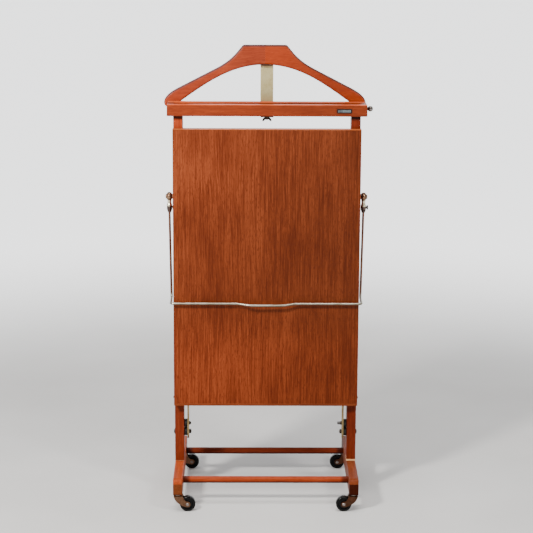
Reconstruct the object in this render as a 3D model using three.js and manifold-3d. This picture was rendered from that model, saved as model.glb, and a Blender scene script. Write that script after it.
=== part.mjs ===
// A rolling valet stand with a trouser press, in millimetres.
// X runs to the user's right, Y to the back and Z up. The origin is on the floor, under the middle
// of the stand. The user stands on the -Y side.
import * as THREE from 'three';
import { mergeVertices } from 'three/addons/utils/BufferGeometryUtils.js';
import Module from 'manifold-3d';

const wasm = await Module();
wasm.setup();

// ---------------------------------------------------------------- driving dimensions
const gap = 0.3; // clearance between pieces that touch
const sides = 20; // facets of a small round piece

const foot = { bottom: 42, top: 82, front: -180, back: 170, topNose: 12, toeNose: 6, edge: 1.8 };
const post = { outer: 218.5, width: 22, front: -40, depth: 36, edge: 1 };
const crossbar = { radius: 8, z: 61, frontY: -116, rearY: 104, seat: 12 };
const tray = {
  width: 465, front: -60, back: 16, bottom: 924, top: 951, rail: 20, end: 15, floor: 4, edge: 2,
};
const board = { width: 439, bottom: 228, top: 894, thickness: 20, clearance: 3 };
const backBoard = { bottom: 262, top: 892, thickness: 14, recess: 3 };
const plate = { x: 179, z: 937, width: 33, height: 9, thickness: 1.2, corner: 1.5 };
const caster = {
  x: 207.5, frontY: -163, rearY: 150, trail: 23, wheelRadius: 18.5, wheelHalf: 7.5, stem: 4,
  stemTop: 64, cheek: 1.6, cheekGap: 0.9, boss: 6.8, axle: 2.2,
};
const press = {
  y: -26, tipZ: 148, pivotZ: 153, stopZ: 174, bolt: 3, stopBolt: 2.5, bush: 10.2, armOuter: 188.8,
  armThickness: 4, openDeg: 12,
};
const bail = {
  y: -22, z: 730, pin: 3, armX: 229, footX: 225.5, rod: 2.75, crossY: -75, crossZ: 482,
  bend: 8, grip: 62, gripOut: 8, gripDrop: 2.6,
};
const tieRod = { y: 6, z: 935, radius: 2.75, left: -110, neck: 1.7, knob: 6.2 };
const hanger = { shift: -4.4, half: 237.8, top: 1081, y: 40, thickness: 23, sweep: 0.042, edge: 5 };
const strip = { half: 15, thickness: 3, back: 20, bend: 6, foot: -48, travel: 20 };
const clampBolt = { y: -22, radius: 3, head: 6, sunk: 0.2 }; // countersunk at 45 degrees

const trayHalf = tray.width / 2;
const postInner = post.outer - post.width;
const postBack = post.front + post.depth;
const bore = (radius) => radius + gap; // a hole that clears a pin of that radius

// ---------------------------------------------------------------- finishes
const finishes = {
  beech: { color: 0xa84a20, roughness: 0.42, metalness: 0 },
  beechDark: { color: 0x983f1e, roughness: 0.42, metalness: 0 },
  beechLight: { color: 0xc45a26, roughness: 0.42, metalness: 0 },
  veneer: { color: 0x9c4720, roughness: 0.45, metalness: 0 },
  brass: { color: 0xb9a878, roughness: 0.35, metalness: 1 },
  steel: { color: 0xb4aea2, roughness: 0.28, metalness: 1 },
  bronze: { color: 0x7a5236, roughness: 0.4, metalness: 1 },
  blackSteel: { color: 0x201c18, roughness: 0.45, metalness: 0.8 },
  blackPlastic: { color: 0x121212, roughness: 0.4, metalness: 0 },
};

// ---------------------------------------------------------------- solids
// Geometry with merged corners, as a solid for cutting and joining.
function toSolid(geometry) {
  const bare = geometry.clone();
  bare.deleteAttribute('normal');
  bare.deleteAttribute('uv');
  const merged = mergeVertices(bare, 1e-4);
  const index = merged.index.array;
  const triangles = [];
  for (let i = 0; i < index.length; i += 3) {
    const [a, b, c] = [index[i], index[i + 1], index[i + 2]];
    if (a !== b && b !== c && c !== a) triangles.push(a, b, c);
  }
  return new wasm.Manifold(new wasm.Mesh({
    numProp: 3,
    vertProperties: new Float32Array(merged.attributes.position.array),
    triVerts: new Uint32Array(triangles),
  }));
}

function toGeometry(solid) {
  const mesh = solid.getMesh();
  const geometry = new THREE.BufferGeometry();
  geometry.setAttribute('position', new THREE.BufferAttribute(new Float32Array(mesh.vertProperties), 3));
  geometry.setIndex(new THREE.BufferAttribute(new Uint32Array(mesh.triVerts), 1));
  geometry.computeVertexNormals();
  return geometry;
}

function cut(base, ...tools) {
  return toGeometry(tools.reduce((solid, tool) => solid.subtract(toSolid(tool)), toSolid(base)));
}

function join(base, ...pieces) {
  return toGeometry(pieces.reduce((solid, piece) => solid.add(toSolid(piece)), toSolid(base)));
}

function box(x0, x1, y0, y1, z0, z1) {
  const geometry = new THREE.BoxGeometry(x1 - x0, y1 - y0, z1 - z0);
  return geometry.translate((x0 + x1) / 2, (y0 + y1) / 2, (z0 + z1) / 2);
}

// Turns a local Y axis to run along x, y or z, then moves it to the other two coordinates u and v.
function along(geometry, axis, u, v) {
  if (axis === 'x') return geometry.rotateZ(-Math.PI / 2).translate(0, u, v);
  if (axis === 'z') return geometry.rotateX(Math.PI / 2).translate(u, v, 0);
  return geometry.translate(u, 0, v);
}

// A round bar along an axis, from a to b.
function bar(axis, radius, a, b, u, v, count = sides) {
  const length = Math.abs(b - a);
  const geometry = new THREE.CylinderGeometry(radius, radius, length, count);
  return along(geometry.translate(0, (a + b) / 2, 0), axis, u, v);
}

// A turned piece: profile lists [radius, place along the axis], closed on the axis at both ends.
function turned(axis, profile, u, v, count = sides) {
  const points = profile.map(([radius, place]) => new THREE.Vector2(radius, place));
  if (points[0].y > points[points.length - 1].y) points.reverse();
  return along(new THREE.LatheGeometry(points, count), axis, u, v);
}

// A flat outline of (Y, Z) pushed along X, from x0 to x1.
function prismX(shape, x0, x1, edge = 0, curveSteps = 2) {
  return extruded(shape, x1 - x0, edge, curveSteps).applyMatrix4(new THREE.Matrix4().set(
    0, 0, 1, x0,
    1, 0, 0, 0,
    0, 1, 0, 0,
    0, 0, 0, 1,
  ));
}

// A flat outline of (X, Z) pushed along Y, from y0 to y1.
function prismY(shape, y0, y1, edge = 0, curveSteps = 2) {
  return extruded(shape, y1 - y0, edge, curveSteps).rotateX(Math.PI / 2).translate(0, y1, 0);
}

function extruded(shape, depth, edge, curveSteps) {
  const geometry = new THREE.ExtrudeGeometry(shape, {
    depth: depth - 2 * edge,
    curveSegments: curveSteps,
    bevelEnabled: edge > 0,
    bevelSize: edge,
    bevelThickness: edge,
    bevelOffset: -edge,
    bevelSegments: 2,
  });
  return geometry.translate(0, 0, edge);
}

function roundedRect(u0, u1, v0, v1, radius) {
  const shape = new THREE.Shape();
  shape.moveTo(u0 + radius, v0);
  shape.lineTo(u1 - radius, v0);
  shape.absarc(u1 - radius, v0 + radius, radius, -Math.PI / 2, 0);
  shape.lineTo(u1, v1 - radius);
  shape.absarc(u1 - radius, v1 - radius, radius, 0, Math.PI / 2);
  shape.lineTo(u0 + radius, v1);
  shape.absarc(u0 + radius, v1 - radius, radius, Math.PI / 2, Math.PI);
  shape.lineTo(u0, v0 + radius);
  shape.absarc(u0 + radius, v0 + radius, radius, Math.PI, 1.5 * Math.PI);
  return shape;
}

function polygon(points) {
  return new THREE.Shape(points.map(([u, v]) => new THREE.Vector2(u, v)));
}

// ---------------------------------------------------------------- the model
const stand = new THREE.Group();

function add(name, geometry, finish, parent = stand) {
  const mesh = new THREE.Mesh(geometry, new THREE.MeshStandardMaterial(finishes[finish]));
  mesh.name = name;
  parent.add(mesh);
}

// The two sides of the stand: the side factor is -1 on the left and +1 on the right.
const sidesOfStand = [['left', -1], ['right', 1]];

// Spans from a to b measured outwards from the middle, on either side, as an ordered pair.
const span = (side, a, b) => [Math.min(side * a, side * b), Math.max(side * a, side * b)];

// ---------------------------------------------------------------- feet, posts and crossbars
function footGeometry(side) {
  const { bottom, top, front, back, topNose, toeNose } = foot;
  const outline = new THREE.Shape();
  outline.moveTo(front + toeNose, bottom);
  outline.lineTo(back - toeNose, bottom);
  outline.absarc(back - toeNose, bottom + toeNose, toeNose, -Math.PI / 2, 0);
  outline.absarc(back - topNose, top - topNose, topNose, 0, Math.PI / 2);
  outline.absarc(front + topNose, top - topNose, topNose, Math.PI / 2, Math.PI);
  outline.absarc(front + toeNose, bottom + toeNose, toeNose, Math.PI, 1.5 * Math.PI);
  const body = prismX(outline, ...span(side, postInner, post.outer), foot.edge, 3);
  const seats = [crossbar.frontY, crossbar.rearY].map((y) => (
    bar('x', bore(crossbar.radius), ...span(side, postInner - 1, postInner + crossbar.seat + gap), y, crossbar.z)
  ));
  const stemHoles = [caster.frontY, caster.rearY].map((y) => (
    bar('z', bore(caster.stem), bottom - 1, caster.stemTop + 1, side * caster.x, y)
  ));
  return cut(body, ...seats, ...stemHoles);
}

function postGeometry(side) {
  const [inner, outer] = span(side, postInner, post.outer);
  const body = new THREE.ExtrudeGeometry(
    roundedRect(inner, outer, post.front, postBack, post.edge),
    { depth: tray.bottom - foot.top - 2 * gap, bevelEnabled: false, curveSegments: 1 },
  ).translate(0, 0, foot.top + gap);
  const across = span(side, postInner - 1, post.outer + 1);
  return cut(
    body,
    bar('x', bore(bail.pin), ...across, bail.y, bail.z),
    bar('x', bore(press.bolt), ...across, press.y, press.pivotZ),
    bar('x', bore(press.stopBolt), ...across, press.y, press.stopZ),
  );
}

for (const [name, side] of sidesOfStand) {
  add(`${name}_foot`, footGeometry(side), 'beech');
  add(`${name}_post`, postGeometry(side), 'beech');
}
for (const [name, y] of [['front', crossbar.frontY], ['rear', crossbar.rearY]]) {
  const reach = postInner + crossbar.seat;
  add(`${name}_crossbar`, bar('x', crossbar.radius, -reach, reach, y, crossbar.z), 'beech');
}

// ---------------------------------------------------------------- casters
// One caster, with its stem on the local Z axis and its wheel trailing along local +X.
function addCaster(name, x, y, turn) {
  const parts = new THREE.Group();
  parts.position.set(x, y, 0);
  parts.rotation.z = turn;
  stand.add(parts);
  const { trail, wheelRadius, wheelHalf, cheek, boss, stem } = caster;
  const flange = foot.bottom - gap; // top of the stem's seat plate
  const forkTop = flange - 1.4 - gap;
  const forkUnder = forkTop - 2;
  const rivetTop = forkUnder - gap;
  add(`${name}_caster_stem`, turned('z', [
    [0, rivetTop - 1.5], [6, rivetTop - 1.5], [6, rivetTop], [stem, rivetTop],
    [stem, flange - 1.4], [10, flange - 1.4], [10, flange], [stem, flange],
    [stem, caster.stemTop], [0, caster.stemTop],
  ], 0, 0), 'steel', parts);

  const cheekIn = wheelHalf + caster.cheekGap;
  const outline = new THREE.Shape();
  outline.moveTo(-10, forkTop);
  outline.quadraticCurveTo(-8, 26.5, 3, 19.5);
  outline.quadraticCurveTo(12, 13, trail, wheelRadius - boss);
  outline.absarc(trail, wheelRadius, boss, -Math.PI / 2, Math.PI / 2);
  outline.quadraticCurveTo(16, 25.5, 12, forkTop);
  const cheeks = [-1, 1].map((face) => prismY(outline, ...span(face, cheekIn, cheekIn + cheek), 0, 4));
  const bridge = box(-10, 12, -cheekIn - cheek, cheekIn + cheek, forkUnder, forkTop);
  add(`${name}_caster_fork`, cut(
    join(bridge, ...cheeks),
    bar('z', bore(stem), forkUnder - 1, forkTop + 1, 0, 0),
    bar('y', bore(caster.axle), -20, 20, trail, wheelRadius, 16),
  ), 'bronze', parts);

  const tread = wheelHalf - 2;
  const wheel = turned('y', [
    [0, -wheelHalf + 0.6], [5.5, -wheelHalf + 0.6], [6.5, -wheelHalf + 2], [11.5, -wheelHalf + 2],
    [12.5, -wheelHalf], [15.5, -wheelHalf], [wheelRadius, -tread], [wheelRadius, tread],
    [15.5, wheelHalf], [12.5, wheelHalf], [11.5, wheelHalf - 2], [6.5, wheelHalf - 2],
    [5.5, wheelHalf - 0.6], [0, wheelHalf - 0.6],
  ], trail, wheelRadius, 24);
  add(`${name}_caster_wheel`, cut(
    wheel,
    bar('y', bore(caster.axle), -20, 20, trail, wheelRadius, 16),
  ), 'blackPlastic', parts);

  const head = cheekIn + cheek + gap;
  add(`${name}_caster_axle`, turned('y', [
    [0, -head - 1.6], [2.4, -head - 1.4], [3.6, -head - 0.6], [3.6, -head], [caster.axle, -head],
    [caster.axle, head], [3.6, head], [3.6, head + 0.6], [2.4, head + 1.4], [0, head + 1.6],
  ], trail, wheelRadius, 16), 'steel', parts);
}

for (const [name, side] of sidesOfStand) {
  const turn = side < 0 ? 0 : Math.PI; // every wheel is parked towards the middle
  addCaster(`${name}_front`, side * caster.x, caster.frontY, turn);
  addCaster(`${name}_rear`, side * caster.x, caster.rearY, turn);
}

// ---------------------------------------------------------------- tray
function rail(y0, y1) {
  return prismX(roundedRect(y0, y1, tray.bottom, tray.top, tray.edge), -trayHalf, trayHalf);
}
const insideFront = tray.front + tray.rail + gap;
const insideBack = tray.back - tray.rail - gap;
add('tray_front_rail', rail(tray.front, tray.front + tray.rail), 'beech');
add('tray_back_rail', cut(
  rail(tray.back - tray.rail, tray.back),
  bar('x', bore(tieRod.radius), tieRod.left - 2, trayHalf + 1, tieRod.y, tieRod.z),
), 'beech');
for (const [name, side] of sidesOfStand) {
  const [x0, x1] = span(side, trayHalf - tray.end, trayHalf);
  add(`tray_${name}_end`, box(x0, x1, insideFront, insideBack, tray.bottom, tray.top), 'beech');
}
const floorHalf = trayHalf - tray.end - gap;
const floorTop = tray.bottom + tray.floor;
const sinkRadius = clampBolt.head + clampBolt.sunk + 1.4 * gap; // of the countersink, at the floor's top
add('tray_floor', cut(
  box(-floorHalf, floorHalf, insideFront, insideBack, tray.bottom, floorTop),
  turned('z', [
    [0, tray.bottom - 1], [bore(clampBolt.radius), tray.bottom - 1],
    [bore(clampBolt.radius), floorTop - sinkRadius + bore(clampBolt.radius)],
    [sinkRadius + 1, floorTop + 1], [0, floorTop + 1],
  ], 0, clampBolt.y),
), 'beech');
const plateOutline = roundedRect(
  plate.x - plate.width / 2, plate.x + plate.width / 2,
  plate.z - plate.height / 2, plate.z + plate.height / 2, plate.corner,
);
const plateBack = tray.front - gap;
add('name_plate', prismY(plateOutline, plateBack - plate.thickness, plateBack), 'steel');

// ---------------------------------------------------------------- tie rod in the back rail
const collarOut = trayHalf + gap + 2.6;
add('tie_rod_collar', cut(
  bar('x', 4.6, trayHalf + gap, collarOut, tieRod.y, tieRod.z),
  bar('x', bore(tieRod.radius), trayHalf, collarOut + 1, tieRod.y, tieRod.z),
), 'blackSteel');
const rodEnd = collarOut + gap;
add('tie_rod', bar('x', tieRod.radius, tieRod.left, rodEnd, tieRod.y, tieRod.z), 'steel');

function knobProfile(start, neck, radius) {
  const centre = start + gap + tieRod.neck + radius;
  const first = Math.PI - Math.asin(neck / radius);
  const steps = 8;
  const profile = [[0, start + gap], [neck, start + gap]];
  for (let i = 0; i <= steps; i += 1) {
    const angle = first * (1 - i / steps);
    profile.push([radius * Math.sin(angle), centre + radius * Math.cos(angle)]);
  }
  profile[profile.length - 1][0] = 0;
  return profile;
}
add('tie_rod_knob', turned('x', knobProfile(rodEnd, 3, tieRod.knob), tieRod.y, tieRod.z, 20), 'steel');

// ---------------------------------------------------------------- press boards
const boardHalf = board.width / 2;
const boardBack = post.front - board.clearance;
const boardFront = boardBack - board.thickness;
const sideScrew = { z: 247, y: (boardFront + boardBack) / 2, shank: 1.5, depth: 12 };
add('front_board', cut(
  box(-boardHalf, boardHalf, boardFront, boardBack, board.bottom, board.top),
  ...sidesOfStand.map(([, side]) => bar(
    'x', bore(sideScrew.shank), ...span(side, boardHalf - sideScrew.depth - gap, boardHalf + 1),
    sideScrew.y, sideScrew.z, 12,
  )),
), 'veneer');
const backFront = post.front + backBoard.recess;
add('back_board', box(
  -postInner + gap, postInner - gap, backFront, backFront + backBoard.thickness,
  backBoard.bottom, backBoard.top,
), 'veneer');

// Arm that carries the front board: a plate on the pivot bolt, with a curved slot for the stop
// bolt and a flange that is screwed to the back of the board.
function pressArm(side) {
  const radius = 12;
  const back = press.y + radius;
  const front = press.y - radius;
  const boardFace = boardBack + gap;
  const flangeTop = 258;
  const outline = new THREE.Shape();
  outline.absarc(press.y, press.tipZ, radius, Math.PI, 2 * Math.PI);
  outline.lineTo(back, press.tipZ + 48);
  outline.lineTo(back - 8, press.tipZ + 66);
  outline.lineTo(back - 10, flangeTop);
  outline.lineTo(boardFace, flangeTop);
  outline.lineTo(boardFace, press.tipZ + 83);
  outline.lineTo(front, press.tipZ + 58);
  const blade = span(side, press.armOuter - press.armThickness, press.armOuter);
  const flange = box(...span(side, 160, press.armOuter), boardFace, boardFace + 3, 234, flangeTop);
  const holes = [press.y, press.pivotZ];
  return cut(
    join(prismX(outline, ...blade, 0, 4), flange),
    bar('x', bore(press.bolt), ...span(side, 150, 200), ...holes),
    prismX(stopSlot(), ...span(side, 180, 200), 0, 3),
  );
}

// Slot about the pivot, from the stop bolt's place with the press shut to its place with it open.
function stopSlot() {
  const reach = press.stopZ - press.pivotZ;
  const half = bore(press.stopBolt);
  const from = THREE.MathUtils.degToRad(90 - press.openDeg);
  const to = Math.PI / 2;
  const at = (angle) => [press.y + reach * Math.cos(angle), press.pivotZ + reach * Math.sin(angle)];
  const slot = new THREE.Shape();
  slot.absarc(press.y, press.pivotZ, reach + half, from, to);
  slot.absarc(...at(to), half, to, to + Math.PI);
  slot.absarc(press.y, press.pivotZ, reach - half, to, from, true);
  slot.absarc(...at(from), half, from - Math.PI, from);
  return slot;
}

function bush(side, z, radius) {
  const [x0, x1] = span(side, press.armOuter + gap, postInner - gap);
  return cut(
    bar('x', press.bush, x0, x1, press.y, z),
    bar('x', bore(radius), x0 - 1, x1 + 1, press.y, z),
  );
}

// A bolt on the inner face of the arm: [radius, distance from the middle], mirrored by side.
function boltThrough(side, profile, z) {
  return turned('x', profile.map(([radius, x]) => [radius, side * x]), press.y, z);
}

const armInner = press.armOuter - press.armThickness;
for (const [name, side] of sidesOfStand) {
  add(`${name}_press_arm`, pressArm(side), 'brass');
  add(`${name}_pivot_bush`, bush(side, press.pivotZ, press.bolt), 'blackPlastic');
  add(`${name}_stop_bush`, bush(side, press.stopZ, press.stopBolt), 'blackPlastic');
  const headIn = post.outer + gap;
  add(`${name}_pivot_bolt`, boltThrough(side, [
    [0, armInner - 5], [5.5, armInner - 5], [5.5, armInner - gap], [press.bolt, armInner - gap],
    [press.bolt, headIn], [6.5, headIn], [6, headIn + 1.8], [3.5, headIn + 3], [0, headIn + 3],
  ], press.pivotZ), 'blackSteel');
  add(`${name}_board_screw`, turned('x', [
    [0, boardHalf - sideScrew.depth], [sideScrew.shank, boardHalf - sideScrew.depth],
    [sideScrew.shank, boardHalf + gap], [3.2, boardHalf + gap], [2.4, boardHalf + 1.6],
    [0, boardHalf + 2.1],
  ].map(([radius, x]) => [radius, side * x]), sideScrew.y, sideScrew.z, 12), 'blackSteel');
}

const stopOuter = post.outer - 2;
add('left_stop_bolt', boltThrough(-1, [
  [0, armInner - 3.4], [4.5, armInner - 3.4], [4.5, armInner - gap], [press.stopBolt, armInner - gap],
  [press.stopBolt, stopOuter], [0, stopOuter],
], press.stopZ), 'blackSteel');
add('right_stop_bolt', join(
  boltThrough(1, [
    [0, armInner - 5], [4.5, armInner - 5], [4.5, armInner - gap], [press.stopBolt, armInner - gap],
    [press.stopBolt, stopOuter], [0, stopOuter],
  ], press.stopZ),
  box(armInner - 11, armInner - 3, press.y - 8, press.y + 8, press.stopZ - 1.2, press.stopZ + 1.2),
), 'blackSteel');

// ---------------------------------------------------------------- bail
// A path through corners, each rounded by an arc-like curve, with its own points as the steps.
class RodPath extends THREE.Curve {
  constructor(corners, radius, steps) {
    super();
    const points = corners.map((corner) => new THREE.Vector3(...corner));
    this.points = [points[0]];
    for (let i = 1; i < points.length - 1; i += 1) {
      const corner = points[i];
      const before = points[i - 1].clone().sub(corner);
      const after = points[i + 1].clone().sub(corner);
      const reach = Math.min(radius, before.length() / 2.2, after.length() / 2.2);
      const start = corner.clone().add(before.setLength(reach));
      const end = corner.clone().add(after.setLength(reach));
      const arc = new THREE.QuadraticBezierCurve3(start, corner, end);
      this.points.push(...arc.getPoints(steps));
    }
    this.points.push(points[points.length - 1]);
  }

  getPoint(t, target = new THREE.Vector3()) {
    const place = t * (this.points.length - 1);
    const i = Math.min(Math.floor(place), this.points.length - 2);
    return target.lerpVectors(this.points[i], this.points[i + 1], place - i);
  }

  getSpacedPoints(count) {
    return this.getPoints(count);
  }

  getTangentAt(t, target) {
    return this.getTangent(t, target);
  }
}

function circle(radius, count) {
  const points = Array.from({ length: count }, (_, i) => {
    const angle = (2 * Math.PI * i) / count;
    return new THREE.Vector2(radius * Math.cos(angle), radius * Math.sin(angle));
  });
  return new THREE.Shape(points);
}

const eye = { inner: post.outer + 4.6, outer: post.outer + 16.4, neck: 4.6, barrel: 6.2 };
const rodTop = bail.z - 16;
const half = [
  [bail.armX, bail.y, rodTop],
  [bail.armX, bail.y, bail.z - 42],
  [bail.footX, bail.y, bail.crossZ + 5],
  [bail.footX, bail.crossY, bail.crossZ],
  [bail.grip, bail.crossY, bail.crossZ],
  [bail.grip - 12, bail.crossY - bail.gripOut, bail.crossZ - bail.gripDrop],
];
const corners = [...half.map(([x, y, z]) => [-x, y, z]), ...[...half].reverse()];
const rodPath = new RodPath(corners, bail.bend, 4);
add('bail_rod', new THREE.ExtrudeGeometry(circle(bail.rod, 8), {
  steps: rodPath.points.length - 1,
  extrudePath: rodPath,
}), 'steel');

// The eye turns on the pivot pin, and its barrel below takes the end of the rod.
function bailEye(side) {
  const x = side * bail.armX;
  const [x0, x1] = span(side, eye.inner, eye.outer);
  const knuckle = turned('x', [
    [0, x0], [7, x0], [9.6, x0 + 3], [10, (x0 + x1) / 2], [9.6, x1 - 3], [7, x1], [0, x1],
  ], bail.y, bail.z);
  const shank = turned('z', [
    [0, bail.z - 38], [3.9, bail.z - 38], [eye.barrel, bail.z - 31], [eye.barrel, bail.z - 20],
    [eye.neck, bail.z - 16], [eye.neck, bail.z - 4], [0, bail.z - 4],
  ], x, bail.y);
  return cut(
    join(knuckle, shank),
    bar('x', bore(bail.pin), x0 - 1, x1 + 1, bail.y, bail.z),
    bar('z', bore(bail.rod), bail.z - 40, rodTop + 1, x, bail.y, 16),
    bar('x', bore(clampScrew.shank), x, x + clampScrew.reach, bail.y, clampScrew.z, 12),
  );
}

const clampScrew = { z: bail.z - 25.5, shank: 1.5, reach: 12, wing: 5 };

// Both clamp screws point to the user's right, so the left one has the shorter head.
function clampScrewGeometry(side) {
  const x = side * bail.armX;
  const tip = x + bail.rod + gap;
  const headStart = x + eye.barrel + gap;
  const headLength = side < 0 ? 3.2 : 4.8;
  return join(
    turned('x', [
      [0, tip], [clampScrew.shank, tip], [clampScrew.shank, headStart], [2.6, headStart],
      [2.2, headStart + headLength], [0, headStart + headLength],
    ], bail.y, clampScrew.z, 12),
    prismX(polygon([
      [bail.y - 0.9, clampScrew.z - clampScrew.wing], [bail.y + 0.9, clampScrew.z - clampScrew.wing],
      [bail.y + 0.9, clampScrew.z + clampScrew.wing], [bail.y - 0.9, clampScrew.z + clampScrew.wing],
    ]), headStart + 1, headStart + headLength),
  );
}

for (const [name, side] of sidesOfStand) {
  add(`${name}_bail_eye`, bailEye(side), 'brass');
  add(`${name}_clamp_screw`, clampScrewGeometry(side), 'blackSteel');
  const spacerIn = post.outer + gap;
  const spacerOut = eye.inner - gap;
  const headIn = eye.outer + gap;
  add(`${name}_bail_pin`, turned('x', [
    [0, postInner + 2], [bail.pin, postInner + 2], [bail.pin, spacerIn], [6, spacerIn],
    [6, spacerOut], [bail.pin, spacerOut], [bail.pin, headIn], [5.6, headIn],
    [5, headIn + 2], [0, headIn + 2.8],
  ].map(([radius, place]) => [radius, side * place]), bail.y, bail.z), 'bronze');
}

// ---------------------------------------------------------------- hanger
// Outline of one half, from the joint in the middle to the tip of the arm.
function hangerOutline(side) {
  const shape = new THREE.Shape();
  const curve = (...p) => shape.bezierCurveTo(side * p[0], p[1], side * p[2], p[3], side * p[4], p[5]);
  shape.moveTo(side * (gap / 2), hanger.top);
  shape.lineTo(side * 47, hanger.top);
  curve(54, hanger.top, 55, 1076, 63, 1067);
  curve(74, 1053, 90, 1039, 112, 1027.4);
  shape.lineTo(side * 205, 979.8);
  curve(220, 972, hanger.half, 960.5, hanger.half, 947);
  curve(hanger.half, 936, 226, 931.5, 214, 938.6);
  curve(145, 986.7, 86, 1034.7, gap / 2, 1035.2);
  return shape;
}

const screw = { x: 8, y: 38, head: 3.5, shank: 1.7, top: 1046 };
const stripTop = 1033.3;

function hangerHalf(side) {
  const { y, thickness, edge, sweep } = hanger;
  const flat = prismY(hangerOutline(side), y - thickness / 2, y + thickness / 2, edge, 8);
  const swept = flat.applyMatrix4(new THREE.Matrix4().set(
    1, 0, 0, hanger.shift,
    -side * sweep, 1, 0, 0,
    0, 0, 1, 0,
    0, 0, 0, 1,
  ));
  return cut(swept, bar('z', bore(screw.shank), 1020, screw.top + 1, side * screw.x, screw.y, 12));
}
add('hanger_left_half', hangerHalf(-1), 'beechDark');
add('hanger_right_half', hangerHalf(1), 'beechLight');

// The strip runs under the tray, up behind it and back again under the hanger.
function hangerStrip() {
  const under = tray.bottom - gap;
  const inner = strip.back - strip.thickness;
  const outerBend = strip.bend;
  const innerBend = strip.bend - strip.thickness;
  const flangeEnd = 50;
  const side = new THREE.Shape();
  side.moveTo(strip.foot, under);
  side.lineTo(strip.foot, under - strip.thickness);
  side.absarc(strip.back - outerBend, under - strip.thickness + outerBend, outerBend, -Math.PI / 2, 0);
  side.absarc(strip.back + innerBend, stripTop - outerBend, innerBend, Math.PI, Math.PI / 2, true);
  side.lineTo(flangeEnd, stripTop - strip.thickness);
  side.lineTo(flangeEnd, stripTop);
  side.absarc(inner + outerBend, stripTop - outerBend, outerBend, Math.PI / 2, Math.PI);
  side.absarc(inner - innerBend, under + innerBend, innerBend, 0, -Math.PI / 2, true);
  const radius = bore(clampBolt.radius);
  const slotEnd = clampBolt.y - strip.travel;
  return cut(
    prismX(side, -strip.half, strip.half),
    bar('z', radius, under - 10, under + 1, 0, clampBolt.y),
    bar('z', radius, under - 10, under + 1, 0, slotEnd),
    box(-radius, radius, slotEnd, clampBolt.y, under - 10, under + 1),
    ...[-1, 1].map((end) => bar('z', bore(screw.shank), stripTop - 10, stripTop + 1, end * screw.x, screw.y, 12)),
  );
}
add('hanger_strip', hangerStrip(), 'brass');

for (const [name, side] of sidesOfStand) {
  const headTop = stripTop - strip.thickness - gap;
  add(`hanger_${name}_screw`, turned('z', [
    [0, headTop - 2.2], [2.4, headTop - 1.8], [screw.head, headTop], [screw.shank, headTop],
    [screw.shank, screw.top], [0, screw.top],
  ], side * screw.x, screw.y, 12), 'steel');
}

const boltTop = floorTop - clampBolt.sunk;
add('clamp_bolt', turned('z', [
  [0, 905.5], [clampBolt.radius, 905.5],
  [clampBolt.radius, boltTop - clampBolt.head + clampBolt.radius], [clampBolt.head, boltTop],
  [0, boltTop],
], 0, clampBolt.y), 'steel');

const washerTop = tray.bottom - gap - strip.thickness - gap;
add('clamp_washer', cut(
  bar('z', 8, washerTop - 1.5, washerTop, 0, clampBolt.y),
  bar('z', bore(clampBolt.radius), washerTop - 3, washerTop + 1, 0, clampBolt.y),
), 'steel');

// Wing nut, with its wings splayed downwards.
const nutTop = washerTop - 1.5 - gap;
const wing = (side) => prismY(polygon([
  [side * 3.4, nutTop - 2], [side * 3.4, nutTop - 7], [side * 5.6, nutTop - 10.5],
  [side * 8.2, nutTop - 14], [side * 10.6, nutTop - 13], [side * 9, nutTop - 8], [side * 6, nutTop - 3],
]), clampBolt.y - 1.6, clampBolt.y + 1.6);
add('wing_nut', cut(
  join(
    turned('z', [[0, nutTop - 7], [4.6, nutTop - 7], [6.2, nutTop], [0, nutTop]], 0, clampBolt.y),
    wing(-1),
    wing(1),
  ),
  bar('z', bore(clampBolt.radius), nutTop - 12, nutTop + 1, 0, clampBolt.y),
), 'blackSteel');

export default stand;
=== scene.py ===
"""The looks of a rolling valet stand with a trouser press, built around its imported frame.

Blender works in metres, with X to the user's right, Y to the back and Z up. The sizes of the
pieces below are written in millimetres and scaled when a mesh is made.
"""
import math

import bmesh
import bpy
from mathutils import Matrix, Vector


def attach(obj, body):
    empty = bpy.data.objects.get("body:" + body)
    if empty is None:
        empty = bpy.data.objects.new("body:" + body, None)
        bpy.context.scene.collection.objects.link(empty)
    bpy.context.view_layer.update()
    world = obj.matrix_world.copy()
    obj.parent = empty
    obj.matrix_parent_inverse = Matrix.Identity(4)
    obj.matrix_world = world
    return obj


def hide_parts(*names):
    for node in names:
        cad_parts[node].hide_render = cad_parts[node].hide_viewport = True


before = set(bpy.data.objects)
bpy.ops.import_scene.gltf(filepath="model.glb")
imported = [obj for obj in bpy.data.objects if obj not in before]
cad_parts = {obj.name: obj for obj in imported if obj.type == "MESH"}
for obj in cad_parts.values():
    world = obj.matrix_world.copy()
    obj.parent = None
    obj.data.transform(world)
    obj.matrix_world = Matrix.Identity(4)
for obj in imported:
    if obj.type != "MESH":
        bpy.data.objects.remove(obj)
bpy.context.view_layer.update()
MM = 0.001
SIDES = (("left", -1), ("right", 1))
CASTER_Y = (("front", -163), ("rear", 150))


# ------------------------------------------------------------------ outlines
def arc(u, v, radius, start, end, steps=10):
    """Points of an arc about u, v. Angles are in degrees."""
    angles = [math.radians(start + (end - start) * i / steps) for i in range(steps + 1)]
    return [(u + radius * math.cos(a), v + radius * math.sin(a)) for a in angles]


def bezier(a, b, c, d, steps=14):
    """Points of a cubic curve from a to d, without a itself."""
    points = []
    for i in range(1, steps + 1):
        t = i / steps
        w = ((1 - t) ** 3, 3 * t * (1 - t) ** 2, 3 * t * t * (1 - t), t ** 3)
        points.append(tuple(sum(w[k] * p[n] for k, p in enumerate((a, b, c, d))) for n in (0, 1)))
    return points


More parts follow.
